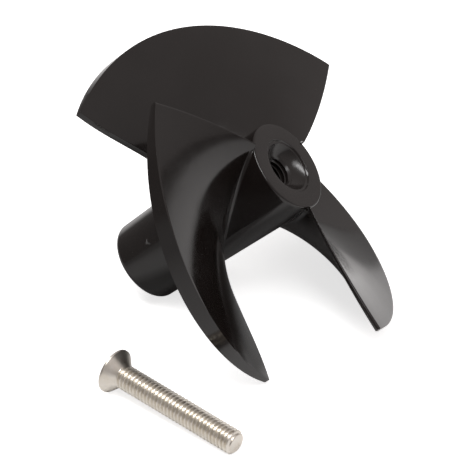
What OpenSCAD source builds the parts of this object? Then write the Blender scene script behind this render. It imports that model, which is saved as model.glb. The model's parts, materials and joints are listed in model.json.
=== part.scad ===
// Three-blade propeller moulding with its countersunk retaining screw.
// The propeller is modelled about its own shaft axis, nose face at z = 0 and hub running to -z,
// and is then set down on the table, where it rests on the rear rim of its hub and on two blades.
// The screw lies loose beside it. The origin is the middle of the footprint, on the table.

/* [Hub] */
// Diameter of the hub at the nose face
nose_d = 15.2; // [14:0.1:18]
// Diameter of the hub at its rear face
rear_d = 13.4; // [12:0.1:14]
// Length of the hub from nose face to rear face
hub_len = 33; // [30:0.1:40]
// Bevel round the nose face
nose_bevel = 0.3; // [0.1:0.05:0.5]
// Rounding radius of the rear rim
rear_round = 0.8; // [0.4:0.1:1.2]

/* [Nose recess] */
// Diameter of the shallow step that surrounds the countersink
step_d = 9.3; // [9:0.1:11]
// Depth of that step
step_depth = 0.25; // [0.1:0.05:0.5]
// Diameter of the countersink at its mouth
recess_d = 8.3; // [7.5:0.1:8.8]
// Hole through the nose web, at the crests of its M5 jacking thread
nose_hole_d = 4.2; // [4.1:0.05:4.5]

/* [Shaft socket] */
// Diameter of the socket that takes the drive shaft
socket_d = 8; // [6:0.1:8]
// Width of the keyway along the socket
key_w = 2; // [1.6:0.1:3]
// Depth of the keyway outside the socket's wall
key_rise = 1; // [0.6:0.1:1.2]
// Depth of the socket from the rear face
socket_depth = 24; // [18:0.1:25]
// Lead-in chamfer at the mouth of the socket
socket_chamfer = 0.5; // [0.2:0.1:0.8]

/* [Blades] */
// Diameter over the blade tips
tip_d = 59.1; // [50:0.1:66]
// Angle that a blade covers along its tip
tip_span = 103.1; // [90:0.1:112]
// Angle that a blade covers along its root, measured from the front corner of its tip
root_span = 85.3; // [80:0.1:100]
// Angle by which the front edge trails at the root
front_sweep = 6.8; // [0:0.1:12]
// Bow of the rear edge at mid radius, in degrees
rear_bow = 4.7; // [0:0.1:5]
// Height of the front edge over the nose face
front_proud = 0.6; // [0:0.1:1]
// Depth of the rear edge under the nose face
rear_drop = 16.4; // [14:0.1:18]
// Exponent of the fall from front edge to rear edge, 1 for a true helix
helix_power = 1.05; // [1:0.01:1.2]
// Thickness along the shaft at the front edge, at the tip
front_thick = 1; // [0.4:0.1:1.2]
// Thickness along the shaft at the front edge, at the root
front_root_thick = 0.4; // [0.3:0.1:1]
// Thickness along the shaft at the rear edge
rear_thick = 1; // [0.4:0.05:1.2]
// Thickness along the shaft at the middle of the tip
tip_thick = 3; // [1.6:0.1:3.2]
// Thickness along the shaft at the middle of the root
root_thick = 2.3; // [1.6:0.1:4]

/* [Screw] */
// Nominal thread diameter
thread_d = 4; // [3:0.1:4]
// Length of the screw over all
screw_len = 25; // [16:1:40]
// Diameter of the countersunk head
head_d = 7.3; // [6:0.1:8]
// Height of the cylindrical rim of the head
head_land = 0.35; // [0.2:0.05:0.6]
// Chamfer at the end of the thread
tip_chamfer = 0.4; // [0.2:0.1:0.6]
// Width of each arm of the cross recess
cross_w = 1; // [0.6:0.1:1.2]
// Length across the cross recess
cross_len = 4.2; // [3:0.1:4.4]
// Depth of the cross recess
cross_depth = 1.7; // [1:0.1:2]

/* [Resting place] */
// Angle of the shaft axis over the table, nose up
shaft_tilt = 43.5; // [43:0.1:44]
// Turn of the propeller about its shaft, to the front corner of the first blade
blade_phase = 90.4; // [90:0.1:90.7]
// Distance of the screw's head behind the nose, along the shaft's heading
screw_back = 21; // [18:0.1:24]
// Distance of the screw's head to the side of the nose
screw_side = 28; // [27:0.1:32]
// Heading of the screw from head to tip, away from the shaft's heading
screw_heading = 26; // [20:0.5:30]

/* [Hidden] */

$fn = 96;
BLADES = 3;
CHORD_STEPS = 36;
CUT = 1;              // overshoot of the cutting shapes
ROOT_SINK = 1.4;      // how far a blade's root runs into the hub
ARC_STEP = 15;        // degrees between the points of a rounded outline

nose_r = nose_d / 2;
rear_r = rear_d / 2;
tip_r = tip_d / 2;
thread_r = thread_d / 2;
head_r = head_d / 2;
cone_depth = (recess_d - nose_hole_d) / 2;
head_cone = head_r - thread_r;

// Radii of a blade's cross sections: sunk in the hub, at the bevel, at the hub and out to the tip
section_r = concat([nose_r - ROOT_SINK, nose_r - nose_bevel],
                   [for (s = [0:0.125:1]) nose_r + (tip_r - nose_r) * s]);

// Share of the way out along the blade
function outward(r) = (r - nose_r) / (tip_r - nose_r);
function bow(s) = 4 * s * (1 - s);
function front_angle(s) = -front_sweep * (1 - s);
function rear_angle(s) = tip_span * s + root_span * (1 - s) + rear_bow * bow(s);
// Inside the hub a blade sinks under the nose face
function sink(r) = min(0, front_proud * (r - nose_r) / nose_bevel);
// Thickness along the shaft, a parabola from edge to edge
function thickness(s, t) =
    (front_root_thick + (front_thick - front_root_thick) * s) * (1 - t) * (1 - 2 * t)
    + rear_thick * t * (2 * t - 1)
    + 4 * (root_thick + (tip_thick - root_thick) * s) * t * (1 - t);

// A point of blade k, at radius r and at share t of the way from front edge to rear edge
function blade_point(k, r, t, back) =
    let (s = outward(r),
         a = blade_phase + k * 360 / BLADES + front_angle(s) + (rear_angle(s) - front_angle(s)) * t,
         z = front_proud - (front_proud + rear_drop) * pow(t, helix_power) + sink(r))
    [r * cos(a), r * sin(a), z - (back ? thickness(max(s, 0), t) : 0)];

// Where a point of the propeller comes to when it is set down, before it is raised and centred
function tilted(p) = [p.x * sin(shaft_tilt) + p.z * cos(shaft_tilt), p.y,
                      p.z * sin(shaft_tilt) - p.x * cos(shaft_tilt)];
tips = [for (k = [0:BLADES - 1]) for (j = [0:CHORD_STEPS]) for (back = [false, true])
        tilted(blade_point(k, tip_r, j / CHORD_STEPS, back))];
rim_low = -(hub_len - rear_round) * sin(shaft_tilt) - (rear_r - rear_round) * cos(shaft_tilt) - rear_round;
nose_height = -min(rim_low, min([for (p = tips) p.z]));

// The screw lies on the lower edge of its head's rim and on the end of its thread
screw_dip = atan((head_r - thread_r) / (screw_len - head_land - tip_chamfer));
screw_dir = [cos(screw_heading) * cos(screw_dip), -sin(screw_heading) * cos(screw_dip), -sin(screw_dip)];
head_centre = [-screw_back, -screw_side, head_r * cos(screw_dip)];
thread_end = head_centre + (screw_len - head_land) * screw_dir;

// Half the reach of a disc of radius r across the screw, along X and along Y
function reach_x(r) = r * sqrt(1 - pow(screw_dir.x, 2));
function reach_y(r) = r * sqrt(1 - pow(screw_dir.y, 2));
low_x = min(concat([for (p = tips) p.x], [head_centre.x - head_land * screw_dir.x - reach_x(head_r)]));
high_x = max([for (p = tips) p.x]);
low_y = min(concat([for (p = tips) p.y],
                   [thread_end.y - reach_y(thread_r - tip_chamfer),
                    thread_end.y - tip_chamfer * screw_dir.y - reach_y(thread_r)]));
high_y = max([for (p = tips) p.y]);
centre = [-(low_x + high_x) / 2, -(low_y + high_y) / 2, 0];

// Carries a shape from the shaft's frame to its place on the table
module set_down() {
    translate(centre + [0, 0, nose_height])
        rotate([0, 90 - shaft_tilt, 0])
            children();
}

module hub_body() {
    rear_arc = [for (a = [0:ARC_STEP:90])
        [rear_r - rear_round * (1 - cos(a)), -hub_len + rear_round * (1 - sin(a))]];
    rotate_extrude()
        polygon(concat([[0, 0], [0, -hub_len]], [for (i = [len(rear_arc) - 1:-1:0]) rear_arc[i]],
                       [[nose_r, -nose_bevel], [nose_r - nose_bevel, 0]]));
}

// Step, countersink and threaded hole, cut from the nose face right through the web
module nose_cut() {
    rotate_extrude()
        polygon([[0, CUT], [step_d / 2, CUT], [step_d / 2, -step_depth], [recess_d / 2, -step_depth],
                 [nose_hole_d / 2, -step_depth - cone_depth],
                 [nose_hole_d / 2, socket_depth - hub_len - CUT], [0, socket_depth - hub_len - CUT]]);
}

module socket_cut() {
    translate([0, 0, -hub_len - CUT]) {
        cylinder(h = socket_depth + CUT, d = socket_d);
        cylinder(h = CUT + socket_chamfer, r1 = socket_d / 2 + socket_chamfer + CUT, r2 = socket_d / 2);
        translate([0, -key_w / 2, 0])
            cube([socket_d / 2 + key_rise, key_w, socket_depth + CUT]);
    }
}

module hub() {
    color("#1d1b1a")
        set_down()
            difference() {
                hub_body();
                nose_cut();
                socket_cut();
            }
}

// Blade k: two ruled sheets, front and back, closed by its root, its tip and its two edges
module blade(k) {
    last = len(section_r) - 1;
    row = CHORD_STEPS + 1;
    side = row * (last + 1);
    points = [for (back = [false, true]) for (r = section_r) for (j = [0:CHORD_STEPS])
              blade_point(k, r, j / CHORD_STEPS, back)];
    function quad(a, b, c, d) = [[a, b, c], [a, c, d]];
    fronts = [for (i = [0:last - 1]) for (j = [0:CHORD_STEPS - 1])
        quad(i * row + j, i * row + j + 1, (i + 1) * row + j + 1, (i + 1) * row + j)];
    backs = [for (i = [0:last - 1]) for (j = [0:CHORD_STEPS - 1])
        quad(side + i * row + j, side + (i + 1) * row + j,
             side + (i + 1) * row + j + 1, side + i * row + j + 1)];
    roots = [for (j = [0:CHORD_STEPS - 1]) quad(j, side + j, side + j + 1, j + 1)];
    tip_faces = [for (j = [0:CHORD_STEPS - 1])
        quad(last * row + j, last * row + j + 1, side + last * row + j + 1, side + last * row + j)];
    front_edge = [for (i = [0:last - 1])
        quad(i * row, (i + 1) * row, side + (i + 1) * row, side + i * row)];
    rear_edge = [for (i = [0:last - 1])
        quad(i * row + CHORD_STEPS, side + i * row + CHORD_STEPS,
             side + (i + 1) * row + CHORD_STEPS, (i + 1) * row + CHORD_STEPS)];
    faces = [for (q = concat(fronts, backs, roots, tip_faces, front_edge, rear_edge)) for (f = q) f];
    color("#232120")
        set_down()
            polyhedron(points, faces);
}

module blade_1() {
    blade(0);
}

module blade_2() {
    blade(1);
}

module blade_3() {
    blade(2);
}

// Countersunk screw along +Z, top of its head at z = 0 and thread running to +z
module screw_body() {
    difference() {
        union() {
            cylinder(h = head_land, r = head_r);
            translate([0, 0, head_land])
                cylinder(h = head_cone, r1 = head_r, r2 = thread_r);
            translate([0, 0, head_land + head_cone])
                cylinder(h = screw_len - head_land - head_cone - tip_chamfer, r = thread_r);
            translate([0, 0, screw_len - tip_chamfer])
                cylinder(h = tip_chamfer, r1 = thread_r, r2 = thread_r - tip_chamfer);
        }
        for (turn = [0, 90])
            rotate([0, 0, turn])
                translate([-cross_len / 2, -cross_w / 2, -CUT])
                    cube([cross_len, cross_w, cross_depth + CUT]);
    }
}

module retaining_screw() {
    color("#b9b6ae")
        translate(centre + head_centre - head_land * screw_dir)
            rotate([0, 90 + screw_dip, -screw_heading])
                screw_body();
}

hub();
blade_1();
blade_2();
blade_3();
retaining_screw();
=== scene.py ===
"""Looks of a moulded three-blade propeller and the loose screw that holds it on its shaft."""

import json
import math

import bmesh
import bpy
import numpy as np
from mathutils import Matrix, Vector


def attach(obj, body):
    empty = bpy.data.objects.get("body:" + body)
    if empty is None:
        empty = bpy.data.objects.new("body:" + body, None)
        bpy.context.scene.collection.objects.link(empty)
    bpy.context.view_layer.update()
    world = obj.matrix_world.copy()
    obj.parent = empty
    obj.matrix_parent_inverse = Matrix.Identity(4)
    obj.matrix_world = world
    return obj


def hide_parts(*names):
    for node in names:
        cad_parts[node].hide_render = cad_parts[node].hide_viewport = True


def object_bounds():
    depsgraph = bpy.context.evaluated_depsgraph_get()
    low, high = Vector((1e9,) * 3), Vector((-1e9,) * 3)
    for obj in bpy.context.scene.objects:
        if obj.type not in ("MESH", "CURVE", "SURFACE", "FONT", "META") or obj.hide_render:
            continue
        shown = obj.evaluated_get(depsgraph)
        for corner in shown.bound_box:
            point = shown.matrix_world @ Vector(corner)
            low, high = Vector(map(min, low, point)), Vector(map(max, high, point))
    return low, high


MM = 0.001

# Sizes in mm and angles in degrees, the same as the CAD part's
HUB_LEN, NOSE_R, REAR_R, NOSE_BEVEL, REAR_ROUND = 33.0, 7.6, 6.7, 0.3, 0.8
STEP_R, STEP_DEPTH, RECESS_R, HOLE_R = 4.65, 0.25, 4.15, 2.1
SOCKET_R, SOCKET_DEPTH, SOCKET_CHAMFER, KEY_HALF, KEY_FLOOR = 4.0, 24.0, 0.5, 1.0, 5.0
TIP_R, TIP_SPAN, ROOT_SPAN, FRONT_SWEEP, REAR_BOW = 29.55, 103.1, 85.3, 6.8, 4.7
FRONT_PROUD, REAR_DROP, HELIX_POWER = 0.6, 16.4, 1.05
FRONT_THICK, FRONT_ROOT_THICK, REAR_THICK, TIP_THICK, ROOT_THICK = 1.0, 0.4, 1.0, 3.0, 2.3
BLADE_PHASE = 90.4
SCREW_LEN, HEAD_R, HEAD_LAND, THREAD_R = 25.0, 3.65, 0.35, 2.0

# Detail that only the looks have
FILLET = 0.7            # radius where a blade grows out of the hub
EDGE_ROUND = 0.12       # rounding along a blade's edges
NOSE_SHARE = 0.016      # share of the chord that has close rows of points for the round front edge
HOLE_PITCH, HOLE_ROOT_R = 0.8, 2.6
LIP = 0.06              # rounding of the edges round the countersink
CONE_BELLY = 0.35       # how far the countersink's wall swells away from a straight cone
GATE_ANGLE, GATE_Z, GATE_R, GATE_RISE = -129.5, -25.7, 0.5, 0.12      # mark of the moulding gate
SCREW_PITCH, SCREW_ROOT_R, SCREW_TIP_R = 0.7, 1.57, 1.55
HEAD_ROUND = 0.07       # rounding of the head's rim
CREST_SHARE, ROOT_SHARE = 0.14, 0.2     # flats of a thread, as shares of its pitch
# Cross recess, from above the head to its floor: depth, arm length, half an arm's width, corner fillet
CROSS_LEVELS = ((-0.5, 2.25, 0.52, 0.34), (1.25, 1.25, 0.42, 0.3), (1.75, 0.5, 0.3, 0.1))

# Table, in m. A tone is the share of light that a place gives back, and the lift is light that the table adds
# where it is seen directly. Round a middle near the object the table carries a painted pool of light that
# fades to a darker tone far away, and the darker tones under and behind the object are a painted shadow and
# painted shade that only reflections and bounced light see
TABLE_HALF, TABLE_DROP = 3.0, 0.02 * MM
# Painted pool of light: its middle, and the distances where it starts and ends fading to the far tone
LIGHT_POOL_MIDDLE, LIGHT_POOL_NEAR, LIGHT_POOL_FAR = (0.12, 0.137, 0), 0.17, 0.316
# Painted shadow under the object and painted shade behind it, as soft-edged spans in x and y
SHADOW_UNDER_X, SHADOW_UNDER_Y, SHADOW_UNDER_SOFT = (-0.034, 0.017), (-0.010, 0.034), 0.004
SHADE_BEHIND_X, SHADE_BEHIND_X_SOFT, SHADE_BEHIND_Y, SHADE_BEHIND_Y_SOFT = (-0.03, 0.078), 0.01, (0.036, 0.6), 0.004
# Tones of the painted pool of light near and far, of the painted shadow under and the painted shade behind,
# and the lift
LIT_POOL_TONE, UNLIT_FAR_TONE, SHADOW_UNDER_TONE, SHADE_BEHIND_TONE, FLOOR_LIFT = 0.95, 0.34, 0.38, 0.35, 0.7

# Studio: lights as azimuth and elevation in degrees, distance, width and height in m, power in W
KEY_LIGHT = (-35, 72, 0.9, 0.945, 0.218, 6.0)
KICK_LIGHT = (34, 53, 0.9, 0.3, 0.3, 1.1)
ROOM_SIDE, ROOM_DIM, ROOM_BRIGHT, ROOM_TINT = (112.4, 55.9), 0.235, 0.575, (1.0, 0.93, 0.91, 1)

# Camera: aim in mm from the object's middle, azimuth and elevation, distance in m, lens in mm, roll
CAMERA_AIM, CAMERA_SIDE, CAMERA_DISTANCE = (0.27, -2.7, -4.72), (14.28, 35.45), 0.4557
CAMERA_LENS, CAMERA_SENSOR, CAMERA_ROLL = 221.8, 36.0, -0.48

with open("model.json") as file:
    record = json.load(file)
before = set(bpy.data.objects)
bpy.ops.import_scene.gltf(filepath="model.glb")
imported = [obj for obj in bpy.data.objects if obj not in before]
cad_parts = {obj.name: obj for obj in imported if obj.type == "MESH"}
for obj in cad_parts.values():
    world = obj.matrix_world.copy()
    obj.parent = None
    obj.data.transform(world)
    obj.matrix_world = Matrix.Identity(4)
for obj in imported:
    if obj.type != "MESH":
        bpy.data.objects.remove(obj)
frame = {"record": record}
cad_low, cad_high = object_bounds()
mounts = {m["name"]: m for m in frame["record"]["mounts"]}


# ---------------------------------------------------------------- places
def axes(origin, along, side):
    """A frame at origin whose Z runs along a direction and whose Y is a direction square to it."""
    z, y = Vector(along).normalized(), Vector(side).normalized()
    x = y.cross(z)
    turn = Matrix((x, y, z)).transposed().to_4x4()
    return Matrix.Translation(origin) @ turn


def shaft_frame():
    """Centre of the nose face, Z out of the nose."""
    socket = mounts["shaft_socket"]
    nose = -Vector(socket["axis"]).normalized()
    reach = HUB_LEN - SOCKET_CHAMFER - socket["dims"]["length_mm"] / 2
    return axes(Vector(socket["pos_m"]) + nose * reach * MM, nose, (0, 1, 0))


def screw_frame():
    """Centre of the top of the screw's head, Z along the thread."""
    thread = mounts["screw_thread"]
    along = Vector(thread["axis"]).normalized()
    reach = HEAD_LAND + HEAD_R - THREAD_R + thread["dims"]["length_mm"] / 2
    return axes(Vector(thread["pos_m"]) - along * reach * MM, along, Vector((0, 0, 1)).cross(along))


SHAFT, SCREW = shaft_frame(), screw_frame()


# ---------------------------------------------------------------- mesh helpers
def grid_faces(rows, columns, start=0, closed=True, flip=False):
    """Quads between rows of points; closed joins the last column to the first."""
    i = np.arange(rows - 1)[:, None]
    j = np.arange(columns if closed else columns - 1)[None, :]
    k = (j + 1) % columns
    quads = np.stack(np.broadcast_arrays(i * columns + j, i * columns + k,
                                         (i + 1) * columns + k, (i + 1) * columns + j), -1)
    quads = quads.reshape(-1, 4) + start
    return quads[:, ::-1] if flip else quads


def make_piece(name, points, faces, place, body, node, merge=1e-4):
    """An object from points in mm in a frame of its own, standing for one CAD node."""
    bm = bmesh.new()
    for p in points:
        bm.verts.new(p)
    bm.verts.ensure_lookup_table()
    for f in faces:
        corners = list(dict.fromkeys(f))
        if len(corners) > 2:
            bm.faces.new([bm.verts[c] for c in corners])
    bmesh.ops.remove_doubles(bm, verts=bm.verts, dist=merge)
    bmesh.ops.dissolve_degenerate(bm, edges=bm.edges, dist=merge)
    bmesh.ops.recalc_face_normals(bm, faces=bm.faces)
    bmesh.ops.transform(bm, matrix=place @ Matrix.Scale(MM, 4), verts=bm.verts)
    mesh = bpy.data.meshes.new(name)
    bm.to_mesh(mesh)
    bm.free()
    obj = bpy.data.objects.new(name, mesh)
    bpy.context.scene.collection.objects.link(obj)
    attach(obj, body)
    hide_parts(node)
    return obj


def bake_modifiers(obj):
    """Puts the result of an object's modifiers in its mesh."""
    bpy.context.view_layer.update()
    done = bpy.data.meshes.new_from_object(obj.evaluated_get(bpy.context.evaluated_depsgraph_get()))
    obj.modifiers.clear()
    obj.data = done


def shade(obj, sharp_angle):
    """Smooth shading that stops at sharp edges, with flat faces kept flat."""
    bm = bmesh.new()
    bm.from_mesh(obj.data)
    for f in bm.faces:
        f.smooth = True
    for e in bm.edges:
        e.smooth = len(e.link_faces) != 2 or e.calc_face_angle(0) < math.radians(sharp_angle)
    bm.to_mesh(obj.data)
    bm.free()
    weighted = obj.modifiers.new("even_normals", "WEIGHTED_NORMAL")
    weighted.keep_sharp = True
    bake_modifiers(obj)


def finish_piece(obj, place, material, sharp_angle):
    """Shades and paints a piece, and keeps each point's place in the piece's own frame for the paint."""
    shade(obj, sharp_angle)
    points = np.zeros(len(obj.data.vertices) * 3, np.float32)
    obj.data.vertices.foreach_get("co", points)
    own = np.array(place.inverted())
    local = points.reshape(-1, 3) @ own[:3, :3].T + own[:3, 3]
    own_place = obj.data.attributes.new("own_place", "FLOAT_VECTOR", "POINT")
    own_place.data.foreach_set("vector", local.ravel())
    obj.data.materials.append(material)


def soften(obj, width, angle, segments=3):
    """Rounds the edges that are sharper than an angle."""
    bevel = obj.modifiers.new("soften", "BEVEL")
    bevel.width, bevel.segments = width * MM, segments
    bevel.limit_method, bevel.angle_limit = "ANGLE", math.radians(angle)
    bevel.miter_outer = "MITER_ARC"
    bake_modifiers(obj)


def combine(obj, bm, place, operation):
    """Adds another closed shape, in mm in a frame of its own, to an object or cuts it out."""
    bmesh.ops.transform(bm, matrix=place @ Matrix.Scale(MM, 4), verts=bm.verts)
    mesh = bpy.data.meshes.new("other_shape")
    bm.to_mesh(mesh)
    bm.free()
    other = bpy.data.objects.new("other_shape", mesh)
    bpy.context.scene.collection.objects.link(other)
    joined = obj.modifiers.new("combine", "BOOLEAN")
    joined.object, joined.operation, joined.solver = other, operation, "EXACT"
    bake_modifiers(obj)
    bpy.data.objects.remove(other)


def ring(angle, r, z):
    """Points at angles round the Z axis."""
    return np.stack([r * np.cos(angle), r * np.sin(angle), np.full(len(angle), z)], -1)


# ---------------------------------------------------------------- threads
def thread_ridge(turns):
    """Height of a thread with a flat crest and root: 1 on the crest, 0 in the root."""
    away = abs((turns + 0.5) % 1 - 0.5) * 2
    return np.clip((1 - ROOT_SHARE - away) / (1 - ROOT_SHARE - CREST_SHARE), 0, 1)


def thread_wall(low, high, pitch, columns, radius_at, per_turn=18):
    """Points and faces of a helical wall from low to high; radius_at takes a height and a ridge."""
    rows = int((high - low) / pitch + 3) * per_turn
    j = np.arange(rows)[:, None]
    i = np.arange(columns)[None, :]
    height = low + pitch * (j / per_turn + i / columns - 1.5)
    ridge = thread_ridge(j / per_turn) + 0 * i
    height = np.clip(height, low, high)
    radius = radius_at(height, ridge)
    angle = 2 * math.pi * i / columns + 0 * j
    points = np.stack([radius * np.cos(angle), radius * np.sin(angle), height], -1).reshape(-1, 3)
    faces = grid_faces(rows, columns, closed=False).tolist()
    last = columns - 1
    for a in range(rows - 1):
        b, c = min(a + per_turn, rows - 1), min(a + 1 + per_turn, rows - 1)
        faces.append([a * columns + last, b * columns, c * columns, (a + 1) * columns + last])
    for a in range(per_turn):
        faces.append([last, a * columns, (a + 1) * columns])
    return points, faces


# ---------------------------------------------------------------- hub
def hub_radius(z):
    """Outside radius of the hub at a height along the shaft."""
    return REAR_R + (NOSE_R - REAR_R) * np.clip((z + HUB_LEN - REAR_ROUND)
                                                / (HUB_LEN - REAR_ROUND - NOSE_BEVEL), 0, 1)


def arc(r, z, radius, first, last, steps):
    """Points of an arc in the plane of (r, z)."""
    return [(r + radius * math.cos(math.radians(a)), z + radius * math.sin(math.radians(a)))
            for a in np.linspace(first, last, steps)]


def make_hub():
    """The hub, turned round its axis but for the keyway, whose corners take over the nearest columns."""
    columns = 180
    step = 360 / columns
    floor_corner = 12       # degrees of the column next to a corner of the keyway's floor
    angle = np.arange(columns) * 2 * math.pi / columns
    wide, deep = math.asin(KEY_HALF / SOCKET_R), math.atan(KEY_HALF / KEY_FLOOR)
    turned = (angle + math.pi) % (2 * math.pi) - math.pi
    keyed_angle = turned.copy()
    inner = np.abs(turned) < math.radians(floor_corner + step / 2)
    edge = np.abs(np.abs(turned) - math.radians(floor_corner)) < 0.01
    shoulder = np.abs(np.abs(turned) - math.radians(floor_corner + step)) < 0.01
    keyed_angle[edge] = np.sign(turned[edge]) * deep
    keyed_angle[shoulder] = np.sign(turned[shoulder]) * wide

    def keyed_ring(r, z):
        radius = np.where(inner, np.maximum(r, KEY_FLOOR / np.cos(keyed_angle)), r)
        return ring(keyed_angle, radius, z)

    web = SOCKET_DEPTH - HUB_LEN
    cone_start = -STEP_DEPTH - (RECESS_R - HOLE_ROOT_R)

    def hole_radius(z, ridge):
        thread = HOLE_ROOT_R - (HOLE_ROOT_R - HOLE_R) * ridge
        return np.maximum(thread, np.maximum(HOLE_ROOT_R + z - cone_start, HOLE_ROOT_R + web - z))

    nose = [(HOLE_ROOT_R, cone_start)]
    nose += [(HOLE_ROOT_R + (RECESS_R - HOLE_ROOT_R) * s + CONE_BELLY * s * (1 - s),
              cone_start + (RECESS_R - HOLE_ROOT_R) * s - CONE_BELLY * s * (1 - s))
             for s in np.linspace(0.08, 0.985, 12)]
    nose += arc(RECESS_R + LIP * 0.5, -STEP_DEPTH - LIP, LIP, 135, 90, 4)
    nose += [(STEP_R - LIP * 2, -STEP_DEPTH)]
    rim, rim_out = LIP * 1.6, 0.08
    nose += arc(STEP_R + rim_out, -rim, rim, 170, 90, 6)
    nose += [(s, 0.0) for s in (5.6, 6.5)]
    nose += arc(NOSE_R - NOSE_BEVEL - 0.04, -NOSE_BEVEL - 0.04, NOSE_BEVEL + 0.04, 90, 2, 9)
    outside = [(float(hub_radius(z)), float(z))
               for z in np.linspace(-NOSE_BEVEL - 0.4, -HUB_LEN + REAR_ROUND + 0.2, 60)]
    rear = arc(REAR_R - REAR_ROUND, -HUB_LEN + REAR_ROUND, REAR_ROUND, 0, -90, 11)
    rows = [ring(angle, *p) for p in nose + outside + rear]
    rows += [keyed_ring(SOCKET_R + SOCKET_CHAMFER, -HUB_LEN),
             keyed_ring(SOCKET_R, -HUB_LEN + SOCKET_CHAMFER)]
    rows += [keyed_ring(SOCKET_R, z) for z in np.linspace(-HUB_LEN + 2, web - 1, 8)]
    rows += [keyed_ring(SOCKET_R, web), ring(angle, HOLE_ROOT_R, web)]
    points = np.concatenate(rows)
    faces = grid_faces(len(rows), columns).tolist()
    wall, wall_faces = thread_wall(web, cone_start, HOLE_PITCH, columns, hole_radius)
    faces += [[c + len(points) for c in f] for f in wall_faces]
    points = np.concatenate([points, wall])
    obj = make_piece("hub_moulding", points, faces, SHAFT, "propeller", "hub")
    combine(obj, gate_ball(), SHAFT, "UNION")
    return obj


def gate_ball():
    """A ball in the hub's wall whose cap stands out as the mark of the moulding gate."""
    radius = (GATE_R ** 2 + GATE_RISE ** 2) / (2 * GATE_RISE)
    reach = float(hub_radius(GATE_Z)) + GATE_RISE - radius
    turn = math.radians(GATE_ANGLE)
    place = Matrix.Translation((reach * math.cos(turn), reach * math.sin(turn), GATE_Z))
    pole_out = Matrix.Rotation(turn, 4, "Z") @ Matrix.Rotation(math.pi / 2, 4, "Y")
    bm = bmesh.new()
    bmesh.ops.create_uvsphere(bm, u_segments=64, v_segments=64, radius=radius, matrix=place @ pole_out)
    return bm


# ---------------------------------------------------------------- blades
def blade_sheets(k):
    """Front and back sheets of blade k as grids of points, root to tip by front to rear edge."""
    sunk = (-1.1, -0.5)     # rows of points inside the hub, in mm
    dip_share = 0.12        # share of the chord, at the front, that stays behind the nose's bevel
    wrap_start = 0.955      # share of the chord from where the fillet turns round the rear edge
    curve = np.linspace(0, math.pi / 2, 12)
    even = np.linspace(0, 1, 131)
    t = 0.35 * (0.5 - 0.5 * np.cos(even * math.pi)) + 0.65 * even
    t = np.concatenate([NOSE_SHARE * (1 - np.cos(curve)), t[t > NOSE_SHARE * 1.05]])[None, :]
    root_z = FRONT_PROUD - (FRONT_PROUD + REAR_DROP) * t ** HELIX_POWER
    foot = hub_radius(np.minimum(root_z, -NOSE_BEVEL))
    near = np.concatenate([sunk, FILLET * (1 - np.cos(curve))])[:, None]
    far = np.linspace(0, 1, 46)[1:, None]
    r = np.concatenate([foot + near, foot + FILLET + (TIP_R - foot - FILLET) * far])
    s = (r - NOSE_R) / (TIP_R - NOSE_R)
    bow = 4 * s * (1 - s)
    first = -FRONT_SWEEP * (1 - s)
    last = TIP_SPAN * s + ROOT_SPAN * (1 - s) + REAR_BOW * bow
    angle = np.radians(BLADE_PHASE + 120 * k + first + (last - first) * t)
    under = np.minimum(0, FRONT_PROUD * (r - NOSE_R) / NOSE_BEVEL) * np.clip(1 - t / dip_share, 0, 1) ** 2
    z = root_z + under
    front_thick = FRONT_ROOT_THICK + (FRONT_THICK - FRONT_ROOT_THICK) * np.maximum(s, 0)
    thick = (front_thick * (1 - t) * (1 - 2 * t) + REAR_THICK * t * (2 * t - 1)
             + 4 * (ROOT_THICK + (TIP_THICK - ROOT_THICK) * np.maximum(s, 0)) * t * (1 - t))
    round_r = 0.48 * front_thick
    inset = np.clip(t * (last - first) * math.pi / 180 * r, 0, round_r)
    inset = round_r - np.sqrt(np.maximum(0, round_r ** 2 - (round_r - inset) ** 2))
    along_u = np.gradient(angle, axis=1) * r
    along_z = np.gradient(z + 0 * s, axis=1)
    length = np.hypot(along_u, along_z)
    along_u, along_z = along_u / length, along_z / length
    out = np.clip(r - foot, 0, FILLET)
    share = 1 - np.sqrt(np.maximum(0, 1 - (1 - out / FILLET) ** 2))
    sheets = []
    for sign, surface in ((1, z), (-1, z - thick)):
        room = np.clip((-NOSE_BEVEL - root_z + (0 if sign > 0 else thick)) * 0.7, 0, FILLET)
        lift = sign * share * room
        slip = share * FILLET * 0.6 * np.clip((t - wrap_start) / (1 - wrap_start), 0, 1)
        u = angle + (-along_z * lift + along_u * slip) / r
        h = surface + along_u * lift + along_z * slip - sign * inset
        sheets.append(np.stack([r * np.cos(u), r * np.sin(u), h], -1))
    return sheets


def make_blade(k, name, node):
    front, back = blade_sheets(k)
    rows, columns = front.shape[:2]
    size = rows * columns
    points = np.concatenate([front.reshape(-1, 3), back.reshape(-1, 3)])
    faces = grid_faces(rows, columns, closed=False).tolist()
    faces += grid_faces(rows, columns, size, closed=False, flip=True).tolist()
    border = [(0, j) for j in range(columns)] + [(i, columns - 1) for i in range(1, rows)]
    border += [(rows - 1, j) for j in range(columns - 2, -1, -1)] + [(i, 0) for i in range(rows - 2, 0, -1)]
    loop = [i * columns + j for i, j in border]
    for a, b in zip(loop, loop[1:] + loop[:1]):
        faces.append([a, b, b + size, a + size])
    obj = make_piece(name, points, faces, SHAFT, "propeller", node)
    soften(obj, EDGE_ROUND, 40)
    return obj


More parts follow.
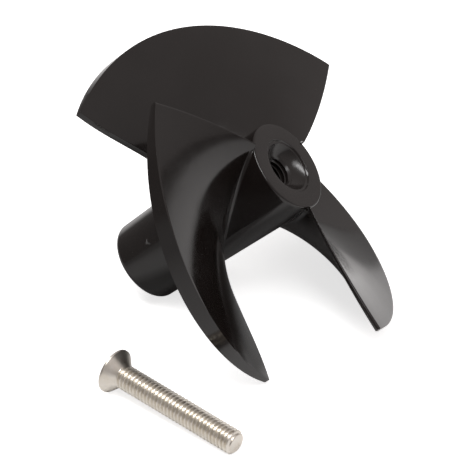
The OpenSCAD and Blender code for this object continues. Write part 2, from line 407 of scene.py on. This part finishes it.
# ---------------------------------------------------------------- screw
def make_screw():
    columns = 96
    cone_end = HEAD_LAND + HEAD_R - THREAD_R

    def radius(z, ridge):
        thread = SCREW_ROOT_R + (THREAD_R - SCREW_ROOT_R) * ridge
        return np.minimum(np.maximum(thread, THREAD_R + cone_end - z), SCREW_TIP_R + SCREW_LEN - z)

    angle = np.arange(columns) * 2 * math.pi / columns
    rim = HEAD_R - HEAD_ROUND
    profile = [(0.0, 0.0), (2.6, 0.0), (3.3, 0.0)] + arc(rim, HEAD_ROUND, HEAD_ROUND, -90, 0, 5)
    profile += arc(rim, HEAD_LAND - HEAD_ROUND * 0.5, HEAD_ROUND, 0, 45, 4)
    profile += [(HEAD_R - s, HEAD_LAND + s) for s in (0.2, 0.6, 1.0, 1.4)] + [(THREAD_R, cone_end)]
    rows = [ring(angle, *p) for p in profile]
    points = np.concatenate(rows)
    faces = grid_faces(len(rows), columns).tolist()
    wall, wall_faces = thread_wall(cone_end, SCREW_LEN, SCREW_PITCH, columns, radius)
    faces += [[c + len(points) for c in f] for f in wall_faces]
    points = np.concatenate([points, wall])
    end = [ring(angle, p, SCREW_LEN - dip)
           for p, dip in ((SCREW_TIP_R, 0), (1.2, 0.015), (0.6, 0.03), (0, 0.03))]
    faces += grid_faces(len(end), columns, len(points)).tolist()
    points = np.concatenate([points] + end)
    obj = make_piece("screw", points, faces, SCREW, "screw", "retaining_screw")
    cut_cross(obj)
    return obj


def cut_cross(obj):
    """Sinks a cross-shaped driver recess in the head, tapered like the driver's point."""
    points = []
    for depth, length, width, corner in CROSS_LEVELS:
        arm = ((length, -width), (length, width), (width + corner, width), (width, width + corner))
        for quarter in range(4):
            turn = math.radians(90 * quarter)
            points += [(x * math.cos(turn) - y * math.sin(turn),
                        x * math.sin(turn) + y * math.cos(turn), depth) for x, y in arm]
    bm = bmesh.new()
    verts = [bm.verts.new(p) for p in points]
    size = len(points) // len(CROSS_LEVELS)
    for level in range(len(CROSS_LEVELS) - 1):
        for i in range(size):
            a, b = level * size + i, level * size + (i + 1) % size
            bm.faces.new([verts[a], verts[b], verts[b + size], verts[a + size]])
    bm.faces.new(verts[:size][::-1])
    bm.faces.new(verts[-size:])
    bmesh.ops.recalc_face_normals(bm, faces=bm.faces)
    combine(obj, bm, SCREW, "DIFFERENCE")


# ---------------------------------------------------------------- materials
class Nodes:
    """A short way to build a node material."""

    def __init__(self, name):
        self.material = bpy.data.materials.new(name)
        self.material.use_nodes = True
        self.tree = self.material.node_tree
        self.shader = self.tree.nodes["Principled BSDF"]
        self.place = self.add("ShaderNodeAttribute", attribute_name="own_place").outputs["Vector"]

    def add(self, kind, inputs=None, **settings):
        node = self.tree.nodes.new(kind)
        for key, value in settings.items():
            setattr(node, key, value)
        for key, value in (inputs or {}).items():
            if isinstance(value, bpy.types.NodeSocket):
                self.tree.links.new(value, node.inputs[key])
            else:
                node.inputs[key].default_value = value
        return node

    def noise(self, size, detail=3, rough=0.5, stretch=(1, 1, 1), distort=0.0):
        """Noise whose grain is about size mm."""
        mapped = self.add("ShaderNodeMapping", {"Vector": self.place, "Scale": stretch}).outputs[0]
        inputs = {"Vector": mapped, "Scale": 1 / (size * MM), "Detail": detail,
                  "Roughness": rough, "Distortion": distort}
        return self.add("ShaderNodeTexNoise", inputs).outputs["Fac"]

    def ramp(self, value, low, high, out_low, out_high):
        return self.add("ShaderNodeMapRange", {"Value": value, "From Min": low, "From Max": high,
                                               "To Min": out_low, "To Max": out_high}).outputs[0]

    def maths(self, operation, a, b=0.0):
        return self.add("ShaderNodeMath", {0: a, 1: b}, operation=operation).outputs[0]

    def mix(self, factor, a, b):
        node = self.add("ShaderNodeMix", data_type="RGBA")
        for key, value in (("Factor", factor), ("A", a), ("B", b)):
            socket = [s for s in node.inputs if s.name == key and s.enabled][0]
            if isinstance(value, bpy.types.NodeSocket):
                self.tree.links.new(value, socket)
            else:
                socket.default_value = value
        return [s for s in node.outputs if s.enabled][0]

    def bump(self, height, depth, after=None):
        """Bump of a depth in mm."""
        inputs = {"Height": height, "Distance": depth * MM, "Strength": 1.0}
        if after is not None:
            inputs["Normal"] = after
        return self.add("ShaderNodeBump", inputs).outputs[0]

    def to_shader(self, **values):
        for key, value in values.items():
            socket = self.shader.inputs[key.replace("_", " ")]
            if isinstance(value, bpy.types.NodeSocket):
                self.tree.links.new(value, socket)
            else:
                socket.default_value = value
        return self.material


def moulded_plastic():
    """Near-black glossy plastic with a moulding's slight waves, orange peel, flow and specks. It is
    duller within about 4 mm of the axis, inside the countersink, the hole and the socket."""
    n = Nodes("black_moulding")
    deep, pale, speck_tone = (0.0068, 0.0050, 0.0044, 1), (0.0088, 0.0068, 0.0062, 1), (0.06, 0.058, 0.055, 1)
    broad = n.noise(9, detail=2)
    flow = n.noise(3, detail=4, rough=0.6, stretch=(1, 1, 0.3), distort=0.8)
    colour = n.mix(n.ramp(broad, 0.35, 0.65, 0, 1), deep, pale)
    speck = n.ramp(n.noise(0.28, detail=1), 0.76, 0.8, 0, 1)
    colour = n.mix(n.maths("MULTIPLY", speck, 0.04), colour, speck_tone)
    roughness = n.ramp(flow, 0.3, 0.7, 0.09, 0.14)
    roughness = n.maths("ADD", roughness, n.ramp(broad, 0.3, 0.7, -0.015, 0.02))
    roughness = n.maths("ADD", roughness, n.maths("MULTIPLY", speck, 0.2))
    across = n.add("ShaderNodeMapping", {"Vector": n.place, "Scale": (1, 1, 0)}).outputs[0]
    from_axis = n.add("ShaderNodeVectorMath", {0: across}, operation="LENGTH").outputs["Value"]
    roughness = n.maths("ADD", roughness, n.ramp(from_axis, 4.1 * MM, 4.5 * MM, 0.1, 0))
    wave = n.bump(n.noise(6, detail=1), 0.02)
    peel = n.bump(n.noise(0.9, detail=2), 0.0016, wave)
    grain = n.bump(n.noise(0.16, detail=2), 0.0004, peel)
    return n.to_shader(Base_Color=colour, Roughness=roughness, Normal=grain, IOR=1.5)


def turned_steel():
    """Plain stainless steel, slightly warm, with fine marks of the lathe and of thread rolling."""
    n = Nodes("screw_stainless")
    split = n.add("ShaderNodeSeparateXYZ", {"Vector": n.place})
    rings = n.add("ShaderNodeTexNoise", {"W": split.outputs["Z"], "Scale": 1 / (0.05 * MM), "Detail": 3.0},
                  noise_dimensions="1D").outputs["Fac"]
    blotch = n.noise(1.6, detail=3)
    warm, bright = (0.73, 0.68, 0.595, 1), (0.81, 0.77, 0.71, 1)
    colour = n.mix(n.ramp(blotch, 0.3, 0.7, 0, 1), warm, bright)
    roughness = n.ramp(rings, 0.3, 0.7, 0.26, 0.36)
    roughness = n.maths("ADD", roughness, n.ramp(blotch, 0.3, 0.7, 0, 0.06))
    marks = n.bump(rings, 0.0012)
    scratches = n.bump(n.noise(0.12, detail=3, stretch=(1, 1, 0.15)), 0.0012, marks)
    return n.to_shader(Base_Color=colour, Metallic=1.0, Roughness=roughness, Normal=scratches)


def grey(tone):
    return (tone, tone, tone, 1)


def pale_floor():
    """A matt white table top with a painted pool of light: bright round a middle near the object and darker
    far from it. To reflections and bounced light it is also darker under and behind the object, a painted
    shadow and painted shade; seen directly it leaves those out and is lifted towards white, so that the
    shadow stays faint."""
    n = Nodes("pale_floor")
    spot = n.add("ShaderNodeTexCoord").outputs["Object"]
    split = n.add("ShaderNodeSeparateXYZ", {"Vector": spot})
    x, y = split.outputs["X"], split.outputs["Y"]

    def span(value, low, high, soft):
        return n.maths("MULTIPLY", n.ramp(value, low - soft, low + soft, 0, 1),
                       n.ramp(value, high - soft, high + soft, 1, 0))

    away = n.add("ShaderNodeVectorMath", {0: spot, 1: LIGHT_POOL_MIDDLE}, operation="DISTANCE")
    # Painted pool of light: the table darkens with distance from its lit middle
    far = n.ramp(away.outputs["Value"], LIGHT_POOL_NEAR, LIGHT_POOL_FAR, 0, 1)
    # Painted shadow under the object
    under = n.maths("MULTIPLY", span(x, *SHADOW_UNDER_X, SHADOW_UNDER_SOFT), span(y, *SHADOW_UNDER_Y, SHADOW_UNDER_SOFT))
    # Painted shade behind the object
    behind = n.maths("MULTIPLY", span(x, *SHADE_BEHIND_X, SHADE_BEHIND_X_SOFT), span(y, *SHADE_BEHIND_Y, SHADE_BEHIND_Y_SOFT))
    seen = n.add("ShaderNodeLightPath").outputs["Is Camera Ray"]
    white = n.mix(far, grey(LIT_POOL_TONE), grey(UNLIT_FAR_TONE))
    # Painted shadow and shade mixed in, for reflections and bounced light only; the camera sees the pool-lit
    # white
    shade_painted_tone = n.mix(behind, n.mix(under, white, grey(SHADOW_UNDER_TONE)), grey(SHADE_BEHIND_TONE))
    return n.to_shader(Base_Color=n.mix(seen, shade_painted_tone, white), Roughness=0.9,
                       Specular_IOR_Level=0.0, Emission_Color=(1, 1, 1, 1),
                       Emission_Strength=n.maths("MULTIPLY", seen, FLOOR_LIFT))


# ---------------------------------------------------------------- the object
hub = make_hub()
blades = [make_blade(k, f"blade_{k + 1}_moulding", f"blade_{k + 1}") for k in range(3)]
screw = make_screw()
plastic, steel = moulded_plastic(), turned_steel()
for piece in [hub] + blades:
    finish_piece(piece, SHAFT, plastic, 38)
finish_piece(screw, SCREW, steel, 30)

# ---------------------------------------------------------------- floor, lights, camera
middle = (cad_low + cad_high) / 2


def make_floor():
    half = TABLE_HALF
    mesh = bpy.data.meshes.new("floor")
    corners = [(-half, -half, 0), (half, -half, 0), (half, half, 0), (-half, half, 0)]
    mesh.from_pydata(corners, [], [(0, 1, 2, 3)])
    floor = bpy.data.objects.new("floor", mesh)
    floor.location = (middle.x, middle.y, cad_low.z - TABLE_DROP)
    bpy.context.scene.collection.objects.link(floor)
    mesh.materials.append(pale_floor())


def direction(azimuth, elevation):
    """The way from the object towards a place; azimuth 0 is towards -Y and 90 towards +X."""
    a, e = math.radians(azimuth), math.radians(elevation)
    return Vector((math.sin(a) * math.cos(e), -math.cos(a) * math.cos(e), math.sin(e)))


def softbox(name, azimuth, elevation, distance, width, height, power):
    data = bpy.data.lights.new(name, "AREA")
    data.shape, data.size, data.size_y, data.energy = "RECTANGLE", width, height, power
    light = bpy.data.objects.new(name, data)
    light.location = middle + direction(azimuth, elevation) * distance
    light.rotation_euler = (middle - light.location).to_track_quat("-Z", "Y").to_euler()
    bpy.context.scene.collection.objects.link(light)


def make_camera():
    """In front of the object, above it and a little to its right, with a long lens."""
    target = middle + Vector(CAMERA_AIM) * MM
    back = direction(*CAMERA_SIDE)
    data = bpy.data.cameras.new("camera")
    data.lens, data.sensor_width = CAMERA_LENS, CAMERA_SENSOR
    data.clip_start, data.clip_end = 0.02, 20
    camera = bpy.data.objects.new("camera", data)
    turn = (-back).to_track_quat("-Z", "Y").to_matrix().to_4x4()
    camera.matrix_world = (Matrix.Translation(target + back * CAMERA_DISTANCE) @ turn
                           @ Matrix.Rotation(math.radians(CAMERA_ROLL), 4, "Z"))
    bpy.context.scene.collection.objects.link(camera)
    bpy.context.scene.camera = camera


def make_world():
    """A slightly warm room, bright high on the right and towards the rear, and dim opposite."""
    world = bpy.data.worlds.new("studio")
    world.use_nodes = True
    tree = world.node_tree
    spot = tree.nodes.new("ShaderNodeTexCoord")
    facing = tree.nodes.new("ShaderNodeVectorMath")
    facing.operation = "DOT_PRODUCT"
    facing.inputs[1].default_value = direction(*ROOM_SIDE)
    fade = tree.nodes.new("ShaderNodeMapRange")
    fade.interpolation_type = "SMOOTHSTEP"
    limits = {"From Min": 0.04, "From Max": 0.9, "To Min": ROOM_DIM, "To Max": ROOM_BRIGHT}
    for key, value in limits.items():
        fade.inputs[key].default_value = value
    tree.links.new(spot.outputs["Generated"], facing.inputs[0])
    tree.links.new(facing.outputs["Value"], fade.inputs["Value"])
    tree.links.new(fade.outputs[0], tree.nodes["Background"].inputs["Strength"])
    tree.nodes["Background"].inputs["Color"].default_value = ROOM_TINT
    bpy.context.scene.world = world


make_floor()
softbox("key", *KEY_LIGHT)
softbox("kick", *KICK_LIGHT)
make_camera()
make_world()
bpy.context.scene.view_settings.view_transform = "Standard"
